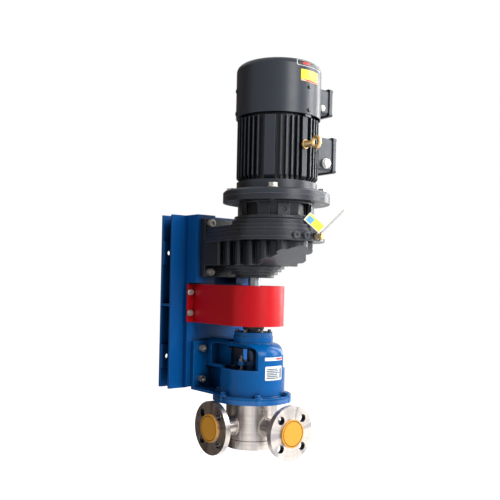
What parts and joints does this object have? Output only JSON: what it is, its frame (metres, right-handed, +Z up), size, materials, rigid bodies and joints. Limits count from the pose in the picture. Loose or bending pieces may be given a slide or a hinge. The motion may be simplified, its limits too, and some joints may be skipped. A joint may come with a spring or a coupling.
{
  "type": "gear oil transfer pump",
  "caption": "Vertical gear oil pump under a gear reducer and motor, on a wall frame, with a coupling guard, a lantern bracket and flanged ports.",
  "frame": {"origin": "centre of the four wall anchor holes, on the wall face of the channels", "axes": "+Z up along the shafts, -Y to the front away from the wall, +X to the right seen from the front"},
  "size_m": [0.2788, 0.4457, 0.906],
  "materials": {
    "frame_paint": "gloss, brush painted",
    "body_paint": "gloss",
    "bracket_paint": "gloss",
    "guard_paint": "gloss",
    "zinc": "zinc plated",
    "bare_steel": "machined",
    "cast": "as cast, oiled",
    "gear_steel": "ground, oiled",
    "brass": "dull",
    "stainless": "turned stainless",
    "cap_plastic": "moulded",
    "black_plastic": "moulded",
    "white_plastic": "moulded",
    "black_rubber": "moulded",
    "card": "printed plastic card",
    "nylon": "moulded",
    "copper": "enamelled winding",
    "aluminium": "cast",
    "packing": "braided, greased"
  },
  "bodies": {
    "root": {"left_channel": "frame_paint", "right_channel": "frame_paint", "mounting_plate": "frame_paint", "pedestal_legs": "frame_paint", "gearbox_case": "body_paint", "gearbox_cover": "body_paint", "output_bearing_cap": "body_paint", "gearbox_plugs": "body_paint", "breather_plugs": "brass", "gearbox_foot_bolts": "zinc", "gearbox_bearings": "bare_steel", "motor_adapter": "body_paint", "motor_flange_bolts": "zinc", "motor_flange_shield": "body_paint", "motor_frame": "body_paint", "motor_stator": "copper", "motor_bearings": "bare_steel", "motor_rear_shield": "body_paint", "fan_cowl": "body_paint", "cover_screws": "black_plastic", "fan_motor": "aluminium", "lifting_eyebolt": "brass", "terminal_box": "body_paint", "terminal_box_lid": "body_paint", "fan_terminal_box": "body_paint", "fan_terminal_box_lid": "body_paint", "cable_entry_plugs": "white_plastic", "hang_tag": "card", "tag_tie": "nylon", "coupling_guard": "guard_paint", "guard_screws": "zinc", "pump_bracket": "bracket_paint", "bracket_foot_bolts": "zinc", "bearing_cover": "bracket_paint", "bearing_cover_screws": "bare_steel", "pump_bearings": "bare_steel", "gland_follower": "bare_steel", "gland_studs": "bare_steel", "shaft_packing": "packing", "pump_body": "stainless", "bracket_flange_bolts": "bracket_paint", "idler_pin": "bare_steel", "front_cover": "stainless", "end_cover_screws": "zinc"},
    "motor_rotor_set": {"motor_shaft": "bare_steel", "motor_rotor": "aluminium"},
    "lay_set": {"first_stage_wheel": "gear_steel", "lay_shaft": "gear_steel"},
    "output_drive": {"output_wheel": "gear_steel", "output_shaft": "bare_steel", "upper_coupling_hub": "cast", "lower_coupling_hub": "cast", "coupling_pins": "bare_steel", "coupling_bushes": "black_rubber", "pump_shaft": "bare_steel", "outer_rotor": "gear_steel"},
    "idler": {"idler_gear": "gear_steel"},
    "fan": {"cooling_fan": "black_plastic"},
    "left_cap": {"left_port_cap": "cap_plastic"},
    "front_cap": {"front_port_cap": "cap_plastic"}
  },
  "joints": [
    {"name": "motor_spin", "type": "hinge", "parent": "root", "child": "motor_rotor_set", "pos_m": [0, -0.299, 0], "axis": [0, 0, 1], "continuous": true},
    {"name": "lay_spin", "type": "hinge", "parent": "root", "child": "lay_set", "pos_m": [0.02992, -0.25894, 0], "axis": [0, 0, 1], "continuous": true},
    {"name": "output_spin", "type": "hinge", "parent": "root", "child": "output_drive", "pos_m": [0, -0.224, 0], "axis": [0, 0, 1], "continuous": true},
    {"name": "idler_spin", "type": "hinge", "parent": "root", "child": "idler", "pos_m": [-0.00884, -0.23284, 0], "axis": [0, 0, 1], "continuous": true},
    {"name": "fan_spin", "type": "hinge", "parent": "root", "child": "fan", "pos_m": [0, -0.299, 0], "axis": [0, 0, 1], "continuous": true},
    {"name": "left_cap_pull", "type": "slide", "parent": "root", "child": "left_cap", "axis": [-1, 0, 0], "range_m": [0, 0.05]},
    {"name": "front_cap_pull", "type": "slide", "parent": "root", "child": "front_cap", "axis": [0, -1, 0], "range_m": [0, 0.05]}
  ],
  "couplings": [
    {"joint": "lay_spin", "follows": "motor_spin", "ratio": -0.42857},
    {"joint": "output_spin", "follows": "motor_spin", "ratio": 0.1875},
    {"joint": "idler_spin", "follows": "motor_spin", "ratio": 0.29167}
  ]
}
